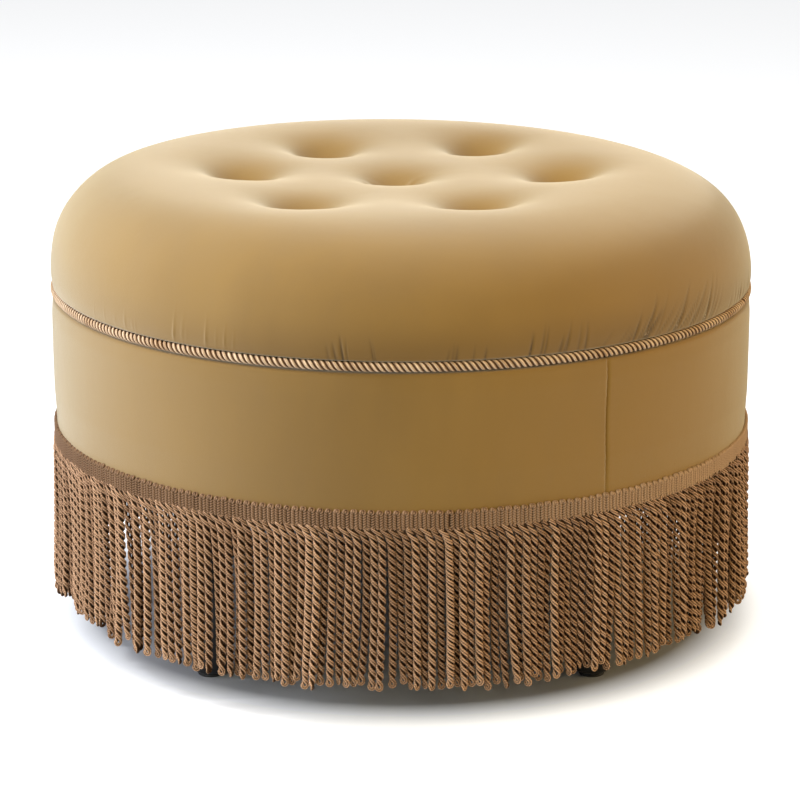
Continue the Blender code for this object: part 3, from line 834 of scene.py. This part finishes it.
LOOPS = 266  # in the tape, all round
STRANDS = 292
FRINGE_PIECES = 9
LAY = 0.0174  # one full twist of a strand
PLY_REACH = 0.0028  # from a strand's middle to the middle of each ply
EYE = 0.0024  # radius of the loop at a strand's end
EYE_OPENING = 0.9  # half the angle that it leaves open at its top
HEADER_JOIN = math.radians(6.4) + FRONT
LOOP_FOOT = HEADER_LOW + 0.0055  # where the woven part of the tape ends and the strands' yarns lead off
LOOP_REACH = 0.52  # half the distance between a loop's legs, as a share of its half width
LOOP_YARN = 0.00188  # radius of the yarn in the loops
BEAD = 0.0024  # length of one bead of that yarn
SHORT_STRANDS = (math.radians(-68) + FRONT, 0.16, 0.007)  # where, over what angle, and how much shorter


def loop_places():
    """Angles of the tape's woven loops: a little closer together to the right of the join."""
    random = np.random.default_rng(21)
    share = np.arange(LOOPS) / LOOPS
    pitch = 1 + 0.07 * np.cos(TAU * share + 2.6) + 0.02 * random.standard_normal(LOOPS)
    pitch[0] += 0.30
    edge = np.concatenate([[0], np.cumsum(pitch)])
    return HEADER_JOIN + TAU * (edge[1:] - 0.5 * pitch) / edge[-1], TAU * pitch / edge[-1]


def loop_paths(angles, widths, random_top):
    """An upside-down U of yarn in each loop, and the distance along it."""
    radius = HEADER_RADIUS - LOOP_YARN
    reach = widths * radius * LOOP_REACH / 2
    arch = HEADER_TOP + 0.0012 - LOOP_YARN + random_top - reach
    lift = np.linspace(0, 1, 21)
    turn = np.linspace(math.pi, 0, 11)[1:-1]
    reach, arch = reach[:, None], arch[:, None]
    slant = 0.0012 * np.exp(-lift / 0.08)
    side = LOOP_FOOT + (arch - LOOP_FOOT) * lift
    x = np.concatenate([slant - reach, reach * np.cos(turn), (reach + slant)[:, ::-1]], 1)
    z = np.concatenate([side, arch + reach * np.sin(turn), side[:, ::-1]], 1)
    along = np.cumsum(np.hypot(np.diff(x, axis=1, prepend=x[:, :1]), np.diff(z, axis=1, prepend=z[:, :1])), 1)
    angle = angles[:, None] + x / radius
    return polar(radius, angle, z), polar(1.0, angle, 0.0 * z), along


def make_header(material, tape):
    """Woven tape: upright loops of two-ply yarn side by side, on a backing painted nearly black as shade
    between them.
    """
    random = np.random.default_rng(22)
    angles, widths = loop_places()
    top = 0.0003 * random.standard_normal(LOOPS)
    tones = random.uniform(0.2, 0.8, LOOPS)
    sides = 10
    corner = 2 * -ring_angles(sides)[None, None]
    pieces = []
    for number, part in enumerate(np.array_split(np.arange(LOOPS), 2), start=1):
        centre, normal, along = loop_paths(angles[part], widths[part], top[part])
        hand = np.where(np.arange(centre.shape[1]) > centre.shape[1] // 2, -1, 1)[None, :, None]
        bead = np.cos(corner - hand * TAU * along[..., None] / BEAD)
        points, faces, uv = sweep(centre, normal, circle(sides, LOOP_YARN), 1 + 0.20 * bead)
        # tone: a random tone for each loop, plus the beads; the yarn paints shade where it is low, between
        # the beads.
        tone = 0.4 * tones[part][:, None, None] + 0.12 + 0.6 * bead
        pieces.append(make_piece(f"header_loops_{number}", points, faces, material, "base",
                                 ["fringe_header"], uv, tone.reshape(-1)))
    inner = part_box("side_cover")[1].x + 0.0003
    outer, top = inner + 0.0012, HEADER_TOP - 0.002
    profile = eased([(inner, top), (outer, top), (outer, HEADER_LOW), (inner, HEADER_LOW)], 0.0003, 1)
    pieces.append(lathe("header_backing_tape", profile, 360, tape, "base", "fringe_yarn"))
    return pieces


def relaxed(along, out, apart, home_pull, deepest, rounds=90):
    """Pushes hanging strands apart where they press on each other, round the ring."""
    length = TAU * HEADER_RADIUS
    home_x, home_y = along.copy(), out.copy()
    for _ in range(rounds):
        for k in (1, 2, 3, 4):
            dx = np.roll(along, -k) - along
            dx = (dx + length / 2) % length - length / 2
            dy = np.roll(out, -k) - out
            gap = np.hypot(dx, dy) + 1e-9
            push = np.clip(apart - gap, 0, None) * 0.5 / gap
            along = along - push * dx + np.roll(push * dx, k)
            out = out - push * dy + np.roll(push * dy, k)
        along = along + home_pull * (home_x - along)
        out = np.clip(out + home_pull * (home_y - out), -deepest, 0.0006)
    return along, out


def strand_paths():
    """Each strand's folded ply, from its top round its eye and back: middle, outward direction and size.

    Also a tone for each strand: random, and lower for strands set further in behind the others, as painted
    shade.
    """
    random = np.random.default_rng(31)
    n = STRANDS
    home = (np.arange(n) + 0.5) / n * TAU + HEADER_JOIN
    arc = home * HEADER_RADIUS
    back = np.where(random.random(n) < 0.4, 0.0045, 0.0) + 0.0022 * random.random(n)
    clump = smooth_noise(random, n, 3.2)
    sway = smooth_noise(random, n, 9)
    mid_x = arc + 0.0015 * clump + 0.0008 * random.standard_normal(n)
    mid_y = -back + 0.001 * random.standard_normal(n)
    mid_x, mid_y = relaxed(mid_x, mid_y, apart=0.0078, home_pull=0.02, deepest=0.0085)
    low_x = arc + 0.0028 * clump + 0.0018 * sway + 0.0014 * random.standard_normal(n)
    low_y = -back + 0.002 * random.standard_normal(n)
    low_x, low_y = relaxed(low_x, low_y, apart=0.0077, home_pull=0.015, deepest=0.011)
    top_r = np.full(n, HEADER_RADIUS - 0.0020)
    mid_r, low_r = HEADER_RADIUS - 0.0012 + mid_y, HEADER_RADIUS + 0.0016 + low_y
    top_z = LOOP_FOOT + 0.0012
    end_z = FRINGE_LOW - 0.0022 + 0.0022 * random.standard_normal(n) + 0.0015 * smooth_noise(random, n, 4)
    end_z = np.clip(end_z, FRINGE_LOW - 0.008, FRINGE_LOW + 0.007)
    where, spread, shorter = SHORT_STRANDS
    end_z = end_z + shorter * np.exp(-(angle_past(home, where) / spread) ** 2)
    eye_z = end_z + EYE + 0.0014
    split_z = eye_z + EYE * math.cos(EYE_OPENING)

    steps = 104
    share = np.linspace(0, 1, steps)
    z = top_z + (split_z[:, None] - top_z) * share[None]
    depth = top_z - z

    def centre_line(z):
        t = (top_z - z) / (top_z - end_z[:, None])
        q0, q1, q2 = (1 - t) * (1 - 2 * t), 4 * t * (1 - t), t * (2 * t - 1)
        lead = -0.0085 * np.clip(1 - (top_z - z) / 0.015, 0, 1) ** 1.6      # slants at the tape
        x = q0 * arc[:, None] + q1 * mid_x[:, None] + q2 * low_x[:, None] + lead
        r = q0 * top_r[:, None] + q1 * mid_r[:, None] + q2 * low_r[:, None]
        return r, x / HEADER_RADIUS

    facing = np.where(random.random(n) < 0.5, 0.5, -0.5) * math.pi + 0.8 * random.standard_normal(n)
    lay = LAY * (1 + 0.08 * random.standard_normal(n))
    twist = facing[:, None] - TAU * (z - split_z[:, None]) / lay[:, None]
    r, angle = centre_line(z)
    axis = polar(r, angle, z)
    outward = polar(1.0, angle, 0 * z)
    around = polar(1.0, angle + math.pi / 2, 0 * z)
    narrow = 0.74 + 0.26 * np.clip(depth / 0.014, 0, 1)
    radial = np.cos(twist)[..., None] * outward + np.sin(twist)[..., None] * around
    reach = (PLY_REACH * narrow)[..., None]
    first, second = axis + reach * radial, axis - reach * radial

    beta = np.linspace(EYE_OPENING, TAU - EYE_OPENING, 17)[1:-1]
    r_eye, angle_eye = centre_line(eye_z[:, None])
    middle = polar(r_eye, angle_eye, eye_z[:, None])
    a = radial[:, -1:]
    up = np.array([0.0, 0.0, 1.0])
    spoke = np.sin(beta)[None, :, None] * a + np.cos(beta)[None, :, None] * up
    eye = middle + EYE * spoke
    face = np.cross(a, up)
    face = face * np.sign((face * outward[:, -1:]).sum(-1, keepdims=True))
    face = np.broadcast_to(face, eye.shape)
    centre = np.concatenate([first, eye, second[:, ::-1]], 1)
    normal = np.concatenate([radial, face, -radial[:, ::-1]], 1)
    size = np.concatenate([narrow, np.full((n, len(beta)), 0.88), narrow[:, ::-1]], 1)
    size = size * (1 + 0.035 * random.standard_normal(n))[:, None]
    bend = slice(steps - 6, steps + len(beta) + 6)
    for _ in range(4):
        for array in (centre, normal):
            soft = array.copy()
            soft[:, 1:-1] = 0.25 * array[:, :-2] + 0.5 * array[:, 1:-1] + 0.25 * array[:, 2:]
            array[:, bend] = soft[:, bend]
    # Painted shade: strands set further in get a lower tone, so the yarn paints them darker.
    tone = np.clip(0.5 + 0.26 * random.standard_normal(n) + 90 * (np.minimum(low_y, mid_y) + 0.003), 0, 1)
    return centre, normal, size, tone


def ply_section():
    """Two yarns side by side, outward, over a body that reaches in to the strand's middle."""
    turn = np.radians([110, 55, 0])
    outer = np.stack([0.00086 + 0.00106 * np.cos(turn), 0.00106 * np.sin(turn)], 1)
    right = np.concatenate([outer, [[0.00125, -0.0012], [0.0006, -0.0021]]])
    left = right[::-1] * np.array([-1.0, 1.0])
    return np.concatenate([[[0.0, 0.00015]], right, [[0.0, -0.0027]], left])


def make_fringe(material):
    centre, normal, size, tone = strand_paths()
    section = ply_section()
    pieces = []
    parts = np.array_split(np.arange(STRANDS), FRINGE_PIECES)
    for number, part in enumerate(parts, start=1):
        points, faces, uv = sweep(centre[part], normal[part], section, size[part])
        tones = np.repeat(tone[part], centre.shape[1] * len(section))
        pieces.append(make_piece(f"bullion_strands_{number}", points, faces, material, "base",
                                 ["fringe_skirt"], uv, tones))
    return pieces


# ---- Drum, lid underside and legs ----

def turned(node, name, material, body, slot, ease, steps=3, ring=True, **options):
    """A finer version of a turned CAD node, a ring or a disc, from its box and its inner radius."""
    low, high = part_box(node)
    hole = min(math.hypot(v.co.x, v.co.y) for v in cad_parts[node].data.vertices) if ring else 0.0
    reach = (high.x - low.x) / 2
    profile = eased([(hole, high.z), (reach, high.z), (reach, low.z), (hole, low.z)], ease, steps)
    options.setdefault("segments", 180)
    return lathe(name, profile, material=material, body=body, slot=slot, replaces=[node], **options)


def make_turned_parts(m):
    ply, lining = m["plywood"], m["lining"]
    turned("locating_ring", "locating_ring_fine", ply, "lid", "plywood", 0.0015)
    turned("top_hoop", "mouth_hoop", ply, "base", "plywood", 0.0015)
    turned("drum_wall", "drum_shell", ply, "base", "plywood", 0.0005, 1)
    turned("lid_lining", "lid_underside_panel", lining, "lid", "lining_cloth", 0.0009, ring=False)
    turned("floor_lining", "compartment_floor_panel", lining, "base", "lining_cloth", 0.0009, ring=False)
    wall = turned("wall_lining", "compartment_wall_cloth", lining, "base", "lining_cloth", 0.0003, 1,
                  segments=240, wobble=lining_waves)
    cloth = turned("dust_cover", "dust_cloth", m["black_cloth"], "base", "black_cloth", 0.0002, 1, ring=False)
    padding = turned("side_padding", "side_padding_wrap", m["foam"], "base", "foam", 0.002, 2)


def lining_waves(row):
    """Glued cloth is not quite even: faint upright ripples."""
    angle, z = split_polar(row)
    push = -0.00025 * (1 + np.sin(37 * angle + 3 * np.sin(4 * angle)) * np.sin(60 * z))
    return row + polar(push, angle, 0.0)


def make_legs(wood, plastic):
    for i in range(1, 5):
        low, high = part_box(f"leg_{i}")
        place = ((low.x + high.x) / 2, (low.y + high.y) / 2)
        r = (high.x - low.x) / 2
        profile = [(0, high.z), (r - 0.0012, high.z), (r - 0.0004, high.z - 0.0004), (r, high.z - 0.0012),
                   (r, low.z + 0.006), (r - 0.0006, low.z + 0.0036), (r - 0.002, low.z + 0.0016),
                   (r - 0.0042, low.z + 0.0003), (r - 0.006, low.z), (0, low.z)]
        lathe(f"turned_leg_{i}", profile, 64, wood, "base", "black_wood", [f"leg_{i}"], place)
        low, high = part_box(f"leg_glide_{i}")
        r = (high.x - low.x) / 2
        corners = [(0, high.z), (r, high.z), (r, low.z + 0.001), (r - 0.001, low.z), (0, low.z)]
        profile = eased(corners, 0.0006, 2)
        lathe(f"glide_pad_{i}", profile, 48, plastic, "base", "glide_plastic", [f"leg_glide_{i}"], place)


def recolour_cad(names):
    """Better materials on the CAD nodes that stay, by how their names start."""
    for node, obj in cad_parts.items():
        for start, name in names.items():
            if node.startswith(start):
                for slot in obj.material_slots:
                    slot.material = MATERIALS[name]


# ---- Build ----

make_camera()
make_backdrop()
make_lights()
make_floor()

MATERIALS = {
    "seat_velvet": velvet("seat_velvet", (0.180, 0.097, 0.016), (0.264, 0.150, 0.030), crease_shade_height=ROPE_TOP.z),
    "band_velvet": velvet("band_velvet", (0.168, 0.090, 0.014), (0.248, 0.140, 0.028),
                          stretch=(1.0, 1.0, 0.45)),
    "rope": yarn("rope_satin", (0.30, 0.165, 0.075), (0.84, 0.66, 0.48), (0.085, 0.036, 0.015), 0.45,
                 ridges=(6.0, 0.03), outer=0.75, hollow=(0.18, 0.46)),
    "fringe": yarn("bullion_yarn", (0.13, 0.062, 0.029), (0.74, 0.47, 0.30), (0.026, 0.010, 0.0045), 0.42,
                   ridges=(4.0, 0.0021), outer=0.0, hollow=(0.56, 0.84), seam=True),
    "header": yarn("header_yarn", (0.13, 0.068, 0.036), (0.43, 0.275, 0.175), (0.030, 0.013, 0.006), 0.38,
                   ridges=(8.0, 0.0040)),
    # The backing is painted nearly black: painted shade between the header loops.
    "tape": weave("backing_shade_weave", (0.030, 0.015, 0.007), (0.075, 0.04, 0.02), 0.0016),
    "lining": weave("lining_weave", (0.44, 0.37, 0.28), (0.60, 0.52, 0.41), 0.0011),
    "black_cloth": mottled("black_nonwoven", (0.010, 0.010, 0.011), (0.032, 0.032, 0.034), 700, 0.9),
    "plywood": plywood("birch_plywood"),
    "foam": mottled("open_cell_foam", (0.66, 0.60, 0.42), (0.86, 0.80, 0.60), 900, 0.93, bump=(0.6, 0.0006)),
    "wadding": mottled("polyester_fibre", (0.74, 0.74, 0.72), (0.90, 0.90, 0.88), 400, 0.95,
                       bump=(0.5, 0.001)),
    "twine": mottled("waxed_twine", (0.55, 0.50, 0.38), (0.78, 0.73, 0.60), 1200, 0.6),
    "steel": mottled("zinc_steel_plate", (0.50, 0.50, 0.49), (0.70, 0.70, 0.68), 300, 0.36, 1.0,
                     (0.1, 0.0002)),
    "black_wood": mottled("satin_black_lacquer", (0.006, 0.006, 0.007), (0.018, 0.018, 0.019), 90, 0.4, 0.0,
                          (0.08, 0.0004)),
    "glide": mottled("black_nylon", (0.012, 0.012, 0.012), (0.030, 0.030, 0.030), 500, 0.55),
}

make_cushion(MATERIALS["seat_velvet"])
make_filling(MATERIALS["wadding"], MATERIALS["foam"])
make_buttons(MATERIALS["seat_velvet"])
make_rope(MATERIALS["rope"])
BAND = make_band(MATERIALS["band_velvet"])
HEADER = make_header(MATERIALS["header"], MATERIALS["tape"])
FRINGE = make_fringe(MATERIALS["fringe"])
make_turned_parts(MATERIALS)
make_legs(MATERIALS["black_wood"], MATERIALS["glide"])
recolour_cad({"lid_board": "plywood", "base_board": "plywood", "tuft_twine": "twine", "tuft_washer": "steel",
              "leg_nut": "steel", "leg_bolt": "steel"})

bpy.context.view_layer.update()
